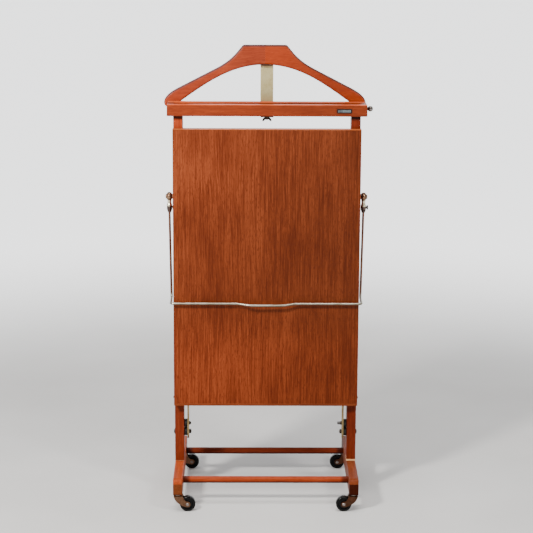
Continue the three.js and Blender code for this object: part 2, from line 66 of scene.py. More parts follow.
def rounded(u0, u1, v0, v1, radius, steps=6):
    """A rectangle with round corners."""
    return (arc(u1 - radius, v0 + radius, radius, -90, 0, steps)
            + arc(u1 - radius, v1 - radius, radius, 0, 90, steps)
            + arc(u0 + radius, v1 - radius, radius, 90, 180, steps)
            + arc(u0 + radius, v0 + radius, radius, 180, 270, steps))


# ------------------------------------------------------------------ closed bodies
def at(axis, place, u, v):
    """The point at a place along an axis, with u and v on the other two in X, Y, Z order."""
    return {"x": (place, u, v), "y": (u, place, v), "z": (u, v, place)}[axis]


def slab(outline, axis, a, b):
    """A flat outline pushed along an axis from a to b."""
    bm = bmesh.new()
    ends = [[bm.verts.new(at(axis, place, u, v)) for u, v in outline] for place in (a, b)]
    for ring in ends:
        bm.faces.new(ring)
    count = len(outline)
    for i in range(count):
        j = (i + 1) % count
        bm.faces.new((ends[0][i], ends[0][j], ends[1][j], ends[1][i]))
    bmesh.ops.recalc_face_normals(bm, faces=bm.faces)
    return bm


def block(x0, x1, y0, y1, z0, z1):
    return slab([(y0, z0), (y1, z0), (y1, z1), (y0, z1)], "x", x0, x1)


def turned(profile, axis, u, v, count=48):
    """A body turned about a line along an axis. The profile lists (radius, place along the axis).
    One that keeps off the line closes on itself, as a ring."""
    bm = bmesh.new()
    rings = []
    for radius, place in profile:
        if radius < 1e-6:
            rings.append([bm.verts.new(at(axis, place, u, v))] * count)
            continue
        turns = [2 * math.pi * i / count for i in range(count)]
        rings.append([bm.verts.new(at(axis, place, u + radius * math.cos(t),
                                      v + radius * math.sin(t))) for t in turns])
    pairs = list(zip(rings, rings[1:]))
    if profile[0][0] > 0:
        pairs.append((rings[-1], rings[0]))
    for a, b in pairs:
        for i in range(count):
            j = (i + 1) % count
            corners = list(dict.fromkeys((a[i], a[j], b[j], b[i])))
            if len(corners) > 2:
                bm.faces.new(corners)
    bmesh.ops.recalc_face_normals(bm, faces=bm.faces)
    return bm


def bar(axis, radius, a, b, u, v, count=32):
    return turned([(0, a), (radius, a), (radius, b), (0, b)], axis, u, v, count)


def rod(path, radius, count=20):
    """A round rod along a path of points, closed at both ends."""
    bm = bmesh.new()
    points = [Vector(p) for p in path]
    rings = []
    normal = None
    for i, p in enumerate(points):
        ahead = points[min(i + 1, len(points) - 1)] - points[max(i - 1, 0)]
        ahead.normalize()
        if normal is None:
            normal = ahead.orthogonal()
        normal = (normal - ahead * normal.dot(ahead)).normalized()
        other = ahead.cross(normal)
        rings.append([bm.verts.new(p + radius * (math.cos(t) * normal + math.sin(t) * other))
                      for t in (2 * math.pi * k / count for k in range(count))])
    for a, b in zip(rings, rings[1:]):
        for k in range(count):
            n = (k + 1) % count
            bm.faces.new((a[k], a[n], b[n], b[k]))
    bm.faces.new(rings[0])
    bm.faces.new(rings[-1])
    bmesh.ops.recalc_face_normals(bm, faces=bm.faces)
    return bm


def combine(how, base, *others):
    """Joins or cuts closed bodies. how is UNION, DIFFERENCE or INTERSECT."""
    made = []
    for bm in (base, *others):
        mesh = bpy.data.meshes.new("scratch")
        bm.to_mesh(mesh)
        bm.free()
        made.append(bpy.data.objects.new("scratch", mesh))
        bpy.context.scene.collection.objects.link(made[-1])
    for other in made[1:]:
        modifier = made[0].modifiers.new("combine", "BOOLEAN")
        modifier.operation = how
        modifier.solver = "EXACT"
        modifier.object = other
    evaluated = made[0].evaluated_get(bpy.context.evaluated_depsgraph_get())
    result = bmesh.new()
    result.from_mesh(evaluated.to_mesh())
    evaluated.to_mesh_clear()
    for o in made:
        mesh = o.data
        bpy.data.objects.remove(o)
        bpy.data.meshes.remove(mesh)
    bmesh.ops.remove_doubles(result, verts=result.verts, dist=1e-4)
    return result


def soften(bm, width, segments=3, angle=40, keep=None):
    """Rounds the edges that turn by more than an angle, or those of them that keep picks."""
    sharp = [e for e in bm.edges if len(e.link_faces) == 2
             and e.calc_face_angle(0) > math.radians(angle) and (keep is None or keep(e))]
    bmesh.ops.bevel(bm, geom=sharp, offset=width, offset_type="OFFSET", segments=segments,
                    profile=0.5, affect="EDGES", clamp_overlap=True)
    return bm


def show(name, bm, body, material, replaces=(), sharp=35):
    """Makes the piece that is shown, in metres, and ties it to its CAD body."""
    for vert in bm.verts:
        vert.co *= MM
    bmesh.ops.recalc_face_normals(bm, faces=bm.faces)
    mesh = bpy.data.meshes.new(name)
    bm.to_mesh(mesh)
    bm.free()
    mesh.materials.append(material)
    mesh.polygons.foreach_set("use_smooth", [True] * len(mesh.polygons))
    mesh.set_sharp_from_angle(angle=math.radians(sharp))
    piece = bpy.data.objects.new(name, mesh)
    bpy.context.scene.collection.objects.link(piece)
    normals = piece.modifiers.new("flat_faces", "WEIGHTED_NORMAL")
    normals.keep_sharp = True
    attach(piece, body)
    if replaces:
        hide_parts(*replaces)
    return piece


# ------------------------------------------------------------------ materials
class Finish:
    """The node tree of one material around a Principled shader."""

    def __init__(self, name, **fixed):
        self.material = bpy.data.materials.new(name)
        self.material.use_nodes = True
        self.tree = self.material.node_tree
        self.tree.nodes.clear()
        self.shader = self.tree.nodes.new("ShaderNodeBsdfPrincipled")
        out = self.tree.nodes.new("ShaderNodeOutputMaterial")
        self.tree.links.new(self.shader.outputs[0], out.inputs[0])
        for socket, value in fixed.items():
            self.shader.inputs[socket.replace("_", " ")].default_value = value
        self.place = self.add("ShaderNodeTexCoord").outputs["Object"]

    def add(self, kind, links=(), **settings):
        """A node with its settings, and its inputs linked or set by index or name."""
        node = self.tree.nodes.new(kind)
        for key, value in settings.items():
            setattr(node, key, value)
        for key, value in dict(links).items():
            if isinstance(value, bpy.types.NodeSocket):
                self.tree.links.new(value, node.inputs[key])
            else:
                node.inputs[key].default_value = value
        return node

    def math(self, operation, a, b=0.0, c=0.0):
        return self.add("ShaderNodeMath", {0: a, 1: b, 2: c}, operation=operation).outputs[0]

    def weighed(self, base, *terms):
        """A number plus each value times its weight."""
        total = base
        for value, weight in terms:
            total = self.math("MULTIPLY_ADD", value, weight, total)
        return total

    def vector(self, operation, a, b):
        return self.add("ShaderNodeVectorMath", {0: a, 1: b}, operation=operation).outputs[0]

    def stretch(self, vector, scale, shift=(0, 0, 0)):
        return self.add("ShaderNodeMapping", {
            "Vector": vector, "Location": shift, "Scale": scale}).outputs[0]

    def noise(self, vector, detail=2.0, rough=0.5):
        return self.add("ShaderNodeTexNoise", {
            "Vector": vector, "Scale": 1.0, "Detail": detail, "Roughness": rough})

    def ramp(self, factor, *stops):
        """Maps a factor through stops of (place, colour or grey)."""
        node = self.add("ShaderNodeValToRGB", {0: factor})
        points = node.color_ramp.elements
        while len(points) < len(stops):
            points.new(0.5)
        for point, (place, value) in zip(points, stops):
            point.position = place
            point.color = (*value, 1) if isinstance(value, tuple) else (value, value, value, 1)
        return node.outputs[0]

    def mix(self, factor, a, b, blend="MIX"):
        """Mixes two colours."""
        links = {0: factor}
        for index, value in ((6, a), (7, b)):
            links[index] = (*value, 1) if isinstance(value, tuple) else value
        node = self.add("ShaderNodeMix", links, data_type="RGBA", blend_type=blend)
        return node.outputs[2]

    def tinted(self, colour, amount, tint):
        """A colour multiplied by a tint, as far as an amount from 0 to 1."""
        return self.mix(amount, colour, self.mix(1.0, colour, tint, "MULTIPLY"))

    def patched(self, colour, patches):
        """Tints parts of the surface. A patch is (tint, (axis, a, b), ...): it is full where each
        distance along its axis is past b, seen from a, whichever side of the middle that is."""
        for tint, *limits in patches:
            amount = 1.0
            for axis, a, b in limits:
                inside = self.between(self.math("ABSOLUTE", self.part(axis)), a, b)
                amount = self.math("MULTIPLY", inside, amount)
            colour = self.tinted(colour, amount, tint)
        return colour

    def part(self, axis):
        """One coordinate of the surface, in metres."""
        return self.add("ShaderNodeSeparateXYZ", {0: self.place}).outputs["XYZ".index(axis)]

    def facing(self, axis):
        """How far the surface faces along an axis, from -1 to 1."""
        normal = self.add("ShaderNodeTexCoord").outputs["Normal"]
        return self.add("ShaderNodeSeparateXYZ", {0: normal}).outputs["XYZ".index(axis)]

    def between(self, value, a, b):
        """0 below a and 1 above b."""
        return self.add("ShaderNodeMapRange", {"Value": value, "From Min": a, "From Max": b},
                        interpolation_type="SMOOTHSTEP").outputs[0]

    def set(self, socket, value):
        self.tree.links.new(value, self.shader.inputs[socket])

    def bump(self, height, distance, strength=0.5):
        node = self.add("ShaderNodeBump", {
            "Height": height, "Distance": distance, "Strength": strength})
        self.set("Normal", node.outputs[0])


def grain_scale(along, across, length):
    """Scale of a pattern that is fine across the grain and long along it."""
    return tuple(length if axis == along else across for axis in "XYZ")


# How close the patterns in wood are, across the grain and along it.
DRIFT, BANDS, CLOUDS = (9, 2.2), (30, 2.6), (11, 6)
PORES, FIBRES, FLECKS = (330, 62), (900, 26), (560, 90)
# How much the fine fibres and the wide clouds add to the tone of wood.
FIBRE_SHARE, CLOUD_SHARE = 0.45, 0.35


def wood(name, along, dark, middle, light, seed=0.0, wander=0.012, figure=1.0, bare=None,
         fade=None, end_grain=None, gloss=0.1, under=None, over=None, patches=(), broad=0.4,
         fine=190, length=6.5):
    """Lacquered beech with its grain along an axis.

    wander is how far the grain strays, in metres, and figure how strong it is. broad is the share
    of wide bands in the grain, against narrow lines. fine says how close the lines are, and length
    how soon they end. bare = (height, colour) leaves the wood below that height without stain.
    fade = (axis, from, to, share) scales the colour by up to the share between two places,
    as painted light, brighter where more light falls. end_grain tints it where the fibres end, as
    they soak up more stain, under where the surface faces down, as painted shade, and over where
    it faces up, as painted light, sheen or reflection. patches are as in Finish.patched.
    """
    f = Finish(name, Coat_Weight=gloss * 0.4, Coat_Roughness=0.18, Specular_IOR_Level=gloss)
    shift = (seed, seed * 1.7, seed * 0.6)

    def pattern(place, closeness, *detail):
        return f.noise(f.stretch(place, grain_scale(along, *closeness), shift), *detail)

    drift = pattern(f.place, DRIFT, 2).outputs["Color"]
    drift = f.vector("SUBTRACT", drift, (0.5, 0.5, 0.5))
    drift = f.vector("MULTIPLY", drift, grain_scale(along, wander, 0.0))
    warped = f.vector("ADD", f.place, drift)
    bands = pattern(warped, BANDS, 2).outputs[0]
    lines = pattern(warped, (fine, length), 3, 0.6).outputs[0]
    pores = pattern(warped, PORES, 2, 0.7).outputs[0]
    fibres = pattern(warped, FIBRES, 2, 0.6).outputs[0]
    flecks = pattern(warped, FLECKS, 1).outputs[0]
    clouds = pattern(f.place, CLOUDS, 3).outputs[0]
    centre = 0.5 - 0.5 * (figure + FIBRE_SHARE + CLOUD_SHARE)
    tone = f.weighed(centre, (clouds, CLOUD_SHARE), (fibres, FIBRE_SHARE),
                     (lines, (1 - broad) * figure), (bands, broad * figure))
    colour = f.ramp(tone, (0.36, dark), (0.5, middle), (0.64, light))
    fleck = f.math("MAXIMUM", f.ramp(flecks, (0.58, 0.0), (0.68, 0.7)),
                   f.ramp(pores, (0.54, 0.0), (0.70, 0.55)))
    colour = f.mix(fleck, colour, dark)
    # Painted light: the colour brightens or darkens along an axis, by how much light falls there.
    if fade:
        axis, start, end, share = fade
        colour = f.tinted(colour, f.between(f.part(axis), start, end), (share, share, share))
    if end_grain:
        ends = f.between(f.math("ABSOLUTE", f.facing(along)), 0.45, 0.85)
        colour = f.tinted(colour, ends, end_grain)
    # Painted shade where the surface faces down.
    if under:
        below = f.between(f.math("MULTIPLY", f.facing("Z"), -1.0), 0.1, 0.75)
        colour = f.tinted(colour, below, under)
    # Painted light, sheen or reflection where the surface faces up.
    if over:
        colour = f.tinted(colour, f.between(f.facing("Z"), 0.1, 0.6), over)
    colour = f.patched(colour, patches)
    if bare:
        height, pale = bare
        ragged = f.weighed(f.part("Z"), (fibres, 0.0012))
        edge = f.between(ragged, height, height + 0.0006)
        colour = f.mix(edge, pale, colour)
    f.set("Base Color", colour)
    f.set("Roughness", f.weighed(0.26, (fibres, 0.12), (clouds, 0.16)))
    f.bump(f.weighed(0.0, (fleck, -0.5), (fibres, 0.4), (lines, 0.5)), 0.0002, 0.3)
    return f.material


def metal(name, tone, stain, rough, along="Z", worn=None, seed=0.0, rubbed=0.0, patches=()):
    """Metal with fine brush marks along an axis, dull stains, and worn = colour of rubbed edges.
    patches are as in Finish.patched."""
    f = Finish(name, Metallic=1.0)
    shift = (seed, seed, seed)
    brushed = f.noise(f.stretch(f.place, grain_scale(along, 2600, 60), shift), 2).outputs[0]
    stains = f.noise(f.stretch(f.place, (55, 55, 55), shift), 4, 0.6).outputs[0]
    fine = f.noise(f.stretch(f.place, (420, 420, 420), shift), 3).outputs[0]
    dirty = f.ramp(f.weighed(0.0, (stains, 0.8), (fine, 0.4)), (0.5, 0.0), (0.75, 1.0))
    colour = f.mix(dirty, tone, stain)
    if worn:
        edges = f.add("ShaderNodeNewGeometry").outputs["Pointiness"]
        rub = f.math("MULTIPLY", f.between(edges, 0.505, 0.56), f.between(fine, 0.3, 0.6))
        bare_spots = f.math("MULTIPLY", f.between(stains, 0.55, 0.7), rubbed)
        colour = f.mix(f.math("MAXIMUM", rub, bare_spots), colour, worn)
    f.set("Base Color", f.patched(colour, patches))
    f.set("Roughness", f.weighed(rough - 0.07, (dirty, 0.2), (brushed, 0.14)))
    f.bump(f.weighed(fine, (brushed, 0.6)), 0.00006, 0.3)
    return f.material


def plastic(name, tone, rough, scuff, seed=0.0, gloss=0.3):
    """Moulded black plastic or rubber with dull scuffs and fine grit."""
    f = Finish(name, Specular_IOR_Level=gloss)
    grit = f.noise(f.stretch(f.place, (900, 900, 900), (seed, 0, 0)), 3).outputs[0]
    marks = f.noise(f.stretch(f.place, (120, 120, 260), (0, seed, 0)), 4, 0.65).outputs[0]
    dull = f.ramp(marks, (0.5, 0.0), (0.72, 1.0))
    f.set("Base Color", f.mix(f.math("MULTIPLY", dull, 0.6), tone, scuff))
    f.set("Roughness", f.weighed(rough - 0.05, (dull, 0.25), (grit, 0.1)))
    f.bump(grit, 0.00008, 0.3)
    return f.material


WOOD_TONES = ((0.130, 0.0190, 0.0045), (0.200, 0.0320, 0.0080), (0.270, 0.0490, 0.0130))
BARE = (0.70, 0.40, 0.19)


def stained(name, along, gain, figure=0.6, **extra):
    """Wood of the stand's common stain, changed by a gain of red, green and blue."""
    tones = [tuple(c * g for c, g in zip(colour, gain)) for colour in WOOD_TONES]
    return wood(name, along, *tones, figure=figure, **extra)


# Painted shade on the wood: the tray's shadow on the tops of the posts, the shadows of the feet on
# the ends of the bars, and shade under the bars. The ends of the feet are darker, partly because
# end grain soaks up more stain and partly as painted shade.
TRAY_SHADOW = ((0.18, 0.15, 0.15), ("Z", 0.9145, 0.9175))
FOOT_END = (("Y", 0.164, 0.168), ("Z", 0.0712, 0.0695))
BAR_END_SHADOWS = ((0.35, 0.30, 0.30), ("X", 0.176, 0.186))
BAR_UNDERSIDE_SHADE = (0.20, 0.14, 0.12)
# A painted reflection of a dim ceiling on the hanger's top faces: darker and bluer.
DIM_TOP_REFLECTION = (0.38, 0.75, 2.2)
SOAKED = (0.6, 0.6, 0.6)
# Painted light on the rail: its top faces are far paler, as light and sheen, and it darkens
# towards the right, where less light falls.
rail_wood = stained("beech_rail", "X", (0.92, 0.79, 0.54), seed=3.1, gloss=0.09, end_grain=SOAKED,
                    fade=("X", -0.15, 0.22, 0.70), over=(2.75, 2.9, 3.4))
# Painted light on the posts: they brighten towards the top, the left one much more, and the right
# post's gain is darker, as painted shade. The tray's painted shadow darkens their tops.
left_post_wood = stained("beech_post_left", "Z", (0.74, 0.64, 0.70), seed=7.4, gloss=0.05,
                         bare=(0.0835, BARE), fade=("Z", 0.5, 0.93, 1.9), patches=(TRAY_SHADOW,))
right_post_wood = stained("beech_post_right", "Z", (0.60, 0.46, 0.50), seed=9.2, gloss=0.05,
                          bare=(0.0872, BARE), fade=("Z", 0.5, 0.93, 1.05), patches=(TRAY_SHADOW,))
# The left foot's gain is brighter than the right one's, as painted light. The dark ends of the
# feet are partly end grain that soaks up more stain and partly painted shade, most of all on the
# right foot.
left_foot_wood = stained("beech_foot_left", "Y", (1.42, 1.42, 1.36), seed=5.5, gloss=0.03,
                         patches=(((0.50, 0.76, 0.96), *FOOT_END),))
right_foot_wood = stained("beech_foot_right", "Y", (0.64, 0.82, 1.05), seed=6.5, gloss=0.03,
                          patches=(((0.24, 0.17, 0.16), *FOOT_END),))
# The rear crossbar's gain is darker than the front one's, as the painted shadow of the front
# board. Both have painted shadows at their ends and painted shade beneath.
front_bar_wood = stained("beech_front_crossbar", "X", (1.22, 1.04, 1.0), seed=12.3, gloss=0.06,
                         under=BAR_UNDERSIDE_SHADE, patches=(BAR_END_SHADOWS,))
rear_bar_wood = stained("beech_rear_crossbar", "X", (0.64, 0.52, 0.60), seed=13.9, gloss=0.06,
                        under=BAR_UNDERSIDE_SHADE, patches=(BAR_END_SHADOWS,))
tray_wood = stained("beech_tray", "X", (0.85, 0.85, 0.85), figure=1.0, seed=15.7)
# The hanger halves have their own tones and darken from the left arm towards the right, as painted
# light and shade. Their top faces get a painted dim reflection.
hanger_left_wood = wood("beech_hanger_left", "X", (0.19, 0.0250, 0.0080), (0.265, 0.038, 0.0125),
                        (0.33, 0.052, 0.018), seed=21.0, wander=0.006, figure=0.4, gloss=0.08,
                        end_grain=SOAKED, fade=("X", -0.15, -0.05, 0.74), over=DIM_TOP_REFLECTION)
hanger_right_wood = wood("beech_hanger_right", "X", (0.165, 0.0178, 0.0032),
                         (0.220, 0.0265, 0.0052), (0.270, 0.0365, 0.0080), seed=27.0, wander=0.006,
                         figure=0.4, gloss=0.08, end_grain=SOAKED, fade=("X", 0.0, 0.12, 0.84),
                         over=DIM_TOP_REFLECTION)


def veneered(name, seed, **extra):
    """Veneer of close fine lines."""
    return wood(name, "Z", (0.074, 0.0115, 0.0029), (0.126, 0.0232, 0.0062),
                (0.184, 0.0380, 0.0110), seed=seed, wander=0.022, figure=0.72, gloss=0.05,
                broad=0.15, fine=320, length=7, **extra)


# The front veneer darkens towards the right as painted light.
front_veneer = veneered("beech_veneer_front", 31.0, fade=("X", -0.21, 0.2, 0.68),
                        patches=(((1.16, 1.20, 1.25), ("Z", 0.66, 0.82)),
                                 ((1.28, 1.20, 1.15), ("Z", 0.50, 0.32))))
back_veneer = veneered("beech_veneer_back", 44.0)
edge_band = wood("beech_edge_band", "X", (0.34, 0.076, 0.020), (0.42, 0.105, 0.030),
                 (0.50, 0.140, 0.042), seed=50.0, figure=0.5, gloss=0.03)
side_band = wood("beech_side_band", "Z", (0.14, 0.024, 0.006), (0.19, 0.035, 0.010),
                 (0.25, 0.05, 0.015), seed=53.0, figure=0.5, gloss=0.05)
# The bottom band darkens towards the right as painted light, like the front veneer.
bottom_band = wood("beech_bottom_band", "X", (0.12, 0.0215, 0.0055), (0.175, 0.034, 0.0090),
                   (0.23, 0.050, 0.014), seed=57.0, figure=0.5, gloss=0.07,
                   fade=("X", -0.21, 0.2, 0.72))

steel = metal("bright_steel", (0.56, 0.53, 0.47), (0.34, 0.30, 0.25), 0.24, "X")
# A darker copy of the steel, as a painted reflection of a dim room on the knob; the clamp bolt
# uses it too.
knob_steel = metal("knob_steel", (0.24, 0.215, 0.205), (0.11, 0.09, 0.08), 0.12, "X", seed=1.0)
# Painted shade on the strip: near black below the tray, and darker just under the hanger.
pale_brass = metal("strip_brass", (0.43, 0.375, 0.205), (0.36, 0.305, 0.155), 0.45, "Z", seed=4.0,
                   patches=(((0.05, 0.05, 0.05), ("Z", 0.9265, 0.9255)),
                            ((0.45, 0.40, 0.40), ("Z", 1.0275, 1.0305))))
arm_brass = metal("arm_brass", (0.34, 0.25, 0.12), (0.18, 0.12, 0.055), 0.38, "Z", seed=5.0)
bronze = metal("caster_bronze", (0.10, 0.040, 0.022), (0.048, 0.020, 0.011), 0.36, "X",
               worn=(0.19, 0.105, 0.062), seed=8.0, rubbed=0.3)
pin_bronze = metal("pin_bronze", (0.22, 0.13, 0.08), (0.10, 0.055, 0.035), 0.35, "X", seed=9.0)
rivet_steel = metal("rivet_steel", (0.36, 0.32, 0.30), (0.17, 0.14, 0.13), 0.3, "X", seed=2.0)
black_steel = metal("black_steel", (0.010, 0.0085, 0.0075), (0.026, 0.019, 0.014), 0.38, "X",
                    worn=(0.075, 0.062, 0.053), seed=11.0)


def bail_finish():
    """Steel wire: grey across the front with painted shade below, and down the sides a mottled
    brown that is a painted reflection of the board, paler at their outer edges as a painted
    highlight.
    """
    f = Finish("bail_wire", Metallic=1.0)
    brushed = f.noise(f.stretch(f.place, (1500, 1500, 1500)), 2).outputs[0]
    stains = f.noise(f.stretch(f.place, (40, 40, 40)), 4, 0.6).outputs[0]
    grey = f.mix(f.between(stains, 0.45, 0.65), (0.36, 0.33, 0.27), (0.26, 0.23, 0.17))
    # Painted shade on the lower side of the wire.
    below = f.between(f.math("MULTIPLY", f.facing("Z"), -1.0), -0.1, 0.5)
    grey = f.tinted(grey, below, (0.34, 0.31, 0.28))
    # A painted reflection of the board: mottled brown down the sides.
    board_reflection = f.mix(f.between(stains, 0.4, 0.6), (0.11, 0.042, 0.026), (0.16, 0.075, 0.05))
    # A painted highlight: paler at the outer edges of the sides.
    outward = f.math("MULTIPLY", f.facing("X"), f.math("SIGN", f.part("X")))
    board_reflection = f.mix(f.between(outward, 0.92, 1.0), board_reflection, (0.14, 0.11, 0.10))
    f.set("Base Color", f.mix(f.between(f.part("Z"), 0.490, 0.500), grey, board_reflection))
    f.set("Roughness", f.weighed(0.16, (stains, 0.2), (brushed, 0.12)))
    f.bump(brushed, 0.00004, 0.3)
    return f.material


def eye_finish():
    """Cast brass: a bronze-brown head, a pale neck and a dark ferrule where the wire goes in."""
    f = Finish("bail_eye_brass", Metallic=1.0)
    fine = f.noise(f.stretch(f.place, (420, 420, 420)), 3).outputs[0]
    stains = f.noise(f.stretch(f.place, (150, 150, 150)), 4, 0.6).outputs[0]
    head = f.mix(f.between(stains, 0.4, 0.62), (0.30, 0.19, 0.115), (0.13, 0.065, 0.04))
    neck = f.mix(f.between(stains, 0.45, 0.7), (0.62, 0.57, 0.42), (0.40, 0.35, 0.22))
    ferrule = f.mix(f.between(stains, 0.4, 0.6), (0.12, 0.08, 0.065), (0.055, 0.04, 0.035))
    ragged = f.weighed(f.part("Z"), (stains, 0.003))
    colour = f.mix(f.between(ragged, 0.7075, 0.7095), ferrule, neck)
    f.set("Base Color", f.mix(f.between(ragged, 0.7220, 0.7235), colour, head))
    f.set("Roughness", f.weighed(0.15, (stains, 0.2), (fine, 0.15)))
    f.bump(fine, 0.00008, 0.4)
    return f.material


bail_steel = bail_finish()
eye_brass = eye_finish()
bush_plastic = plastic("bush_plastic", (0.004, 0.004, 0.0045), 0.4, (0.016, 0.016, 0.017), 1.0)
wheel_plastic = plastic("wheel_plastic", (0.0015, 0.0015, 0.0016), 0.16, (0.005, 0.0045, 0.0045),
                        2.0, 0.16)
plate_frame_metal = metal("plate_frame", (0.035, 0.020, 0.016), (0.02, 0.012, 0.01), 0.4, "X",
                          seed=13.0)
plate_face_metal = metal("plate_face", (0.22, 0.26, 0.27), (0.08, 0.09, 0.10), 0.3, "X", seed=14.0)


# ------------------------------------------------------------------ posts, feet and crossbars
POST = {"inner": 196.5, "outer": 218.5, "front": -40, "back": -4, "bottom": 82.3, "top": 923.7}
FOOT = {"front": -180, "back": 170, "bottom": 42, "top": 82, "nose": 12, "toe": 6}
CROSSBAR = {"radius": 8, "half": 208.5, "z": 61}
TRAY = {"half": 232.5, "front": -60, "back": 16, "rail": 20, "end": 15, "bottom": 924, "top": 951}


def span(side, a, b):
    """The two distances from the middle, on that side, in rising order."""
    return sorted((side * a, side * b))


def foot_outline():
    """A foot seen from the side, with large round corners above and small ones below."""
    nose, toe = FOOT["nose"], FOOT["toe"]
    return (arc(FOOT["back"] - toe, FOOT["bottom"] + toe, toe, -90, 0, 5)
            + arc(FOOT["back"] - nose, FOOT["top"] - nose, nose, 0, 90, 12)
            + arc(FOOT["front"] + nose, FOOT["top"] - nose, nose, 90, 180, 12)
            + arc(FOOT["front"] + toe, FOOT["bottom"] + toe, toe, 180, 270, 5))


for (name, side), post_wood, foot_wood in zip(SIDES, (left_post_wood, right_post_wood),
                                              (left_foot_wood, right_foot_wood)):
    x0, x1 = span(side, POST["inner"], POST["outer"])
    post = block(x0, x1, POST["front"], POST["back"], POST["bottom"], POST["top"])
    show(f"{name}_post_wood", soften(post, 0.9, 3), "root", post_wood, [f"{name}_post"])
    foot = slab(foot_outline(), "x", x0, x1)
    show(f"{name}_foot_wood", soften(foot, 1.5, 3, 60), "root", foot_wood,
         [f"{name}_foot"])
for name, y, bar_wood in (("front", -116, front_bar_wood), ("rear", 104, rear_bar_wood)):
    crossbar = bar("x", CROSSBAR["radius"], -CROSSBAR["half"], CROSSBAR["half"], y,
                   CROSSBAR["z"], 56)
    show(f"{name}_crossbar_wood", soften(crossbar, 0.8, 2, 60), "root", bar_wood,
         [f"{name}_crossbar"])

# ------------------------------------------------------------------ tray
for name, y0, y1 in (("front", TRAY["front"], TRAY["front"] + TRAY["rail"]),
                     ("back", TRAY["back"] - TRAY["rail"], TRAY["back"])):
    rail = block(-TRAY["half"], TRAY["half"], y0, y1, TRAY["bottom"], TRAY["top"])
    show(f"tray_{name}_rail_wood", soften(rail, 2.2, 5), "root", rail_wood,
         [f"tray_{name}_rail"])
for name, side in SIDES:
    x0, x1 = span(side, TRAY["half"] - TRAY["end"], TRAY["half"])
    end = block(x0, x1, -39.8, -4.2, TRAY["bottom"], TRAY["top"] - 0.6)
    show(f"tray_{name}_end_wood", soften(end, 0.8, 3), "root", tray_wood,
         [f"tray_{name}_end"])
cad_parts["tray_floor"].data.materials.clear()
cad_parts["tray_floor"].data.materials.append(tray_wood)

# The name plate, from left to right and from bottom to top.
PLATE = (161.4, 196.6, 931.9, 942.3)


def plate_outline(x_inset, z_inset, radius):
    """The plate seen from the front, drawn in from its edges."""
    x0, x1, z0, z1 = PLATE
    return rounded(x0 + x_inset, x1 - x_inset, z0 + z_inset, z1 - z_inset, radius)


plate_ring = combine("DIFFERENCE", slab(plate_outline(0, 0, 1.5), "y", -61.5, -60.3),
                     slab(plate_outline(2.8, 2.4, 0.8), "y", -63, -60.7))
show("name_plate_frame", soften(plate_ring, 0.25, 2, 50), "root", plate_frame_metal,
     ["name_plate"])
show("name_plate_face", slab(plate_outline(2.6, 2.2, 0.9), "y", -61.0, -60.6), "root",
     plate_face_metal)

# ------------------------------------------------------------------ tie rod
TIE_ROD = {"y": 6, "z": 935, "radius": 2.75, "inner": -110, "outer": 235.7}
KNOB = {"radius": 6.8, "x": 243.3, "neck": 3.0, "from": 236.0}
tie_rod_at = (TIE_ROD["y"], TIE_ROD["z"])
tie_bar = bar("x", TIE_ROD["radius"], TIE_ROD["inner"], TIE_ROD["outer"], *tie_rod_at, 32)
show("tie_rod_bar", soften(tie_bar, 0.5, 2, 60), "tie_rod", steel, ["tie_rod"])
collar = turned([(3.05, 232.8), (4.6, 232.8), (4.6, 235.4), (3.05, 235.4)], "x", *tie_rod_at, 40)
show("tie_rod_ring", soften(collar, 0.5, 3, 60), "root", black_steel,
     ["tie_rod_collar"])
ball = [(KNOB["radius"] * math.sin(math.radians(a)),
         KNOB["x"] - KNOB["radius"] * math.cos(math.radians(a))) for a in range(30, 180, 10)]
ball = [(0, KNOB["from"]), (KNOB["neck"], KNOB["from"])] + ball + [(0, KNOB["x"] + KNOB["radius"])]
show("tie_rod_ball", turned(ball, "x", *tie_rod_at, 56), "tie_rod", knob_steel,
     ["tie_rod_knob"])

# ------------------------------------------------------------------ press boards
def boarded(name, x, y0, y1, z0, z1, bands, body, veneer):
    """A veneered board with solid bands: bands = (top, bottom, side) widths."""
    top, bottom, edge = bands
    panel = block(-x + edge, x - edge, y0, y1, z0 + bottom, z1 - top)
    show(f"{name}_panel", soften(panel, 0.25, 2), body, veneer, [name])
    for label, z in (("top", (z1 - top, z1)), ("bottom", (z0, z0 + bottom))):
        show(f"{name}_{label}_band", soften(block(-x, x, y0, y1, *z), 0.25, 2), body,
             edge_band if label == "top" else bottom_band)
    for label, side in SIDES:
        x0, x1 = span(side, x - edge, x)
        show(f"{name}_{label}_band", soften(block(x0, x1, y0, y1, z0 + bottom, z1 - top), 0.3, 2),
             body, side_band)


boarded("front_board", 219.5, -63, -43, 228, 894, (0.7, 5.5, 1.2), "press", front_veneer)
boarded("back_board", 196.2, -37, -23, 262, 892, (0.7, 2.4, 1.2), "root", back_veneer)

# ------------------------------------------------------------------ press arms and their bolts
PRESS = {"y": -26, "pivot": 153, "stop": 174, "arm_in": 184.8, "arm_out": 188.8,
         "pivot_bore": 3.3, "stop_bore": 2.8}


def dome(radius, start, height, side):
    """Profile of a domed head that starts at a distance from the middle, mirrored by side."""
    points = [(radius * math.cos(math.radians(a)), start + height * math.sin(math.radians(a)))
              for a in range(0, 90, 15)] + [(0, start + height)]
    return [(r, side * p) for r, p in points]


def hexagon(u, v, radius):
    return [(u + radius * math.cos(math.radians(a)), v + radius * math.sin(math.radians(a)))
            for a in range(0, 360, 60)]


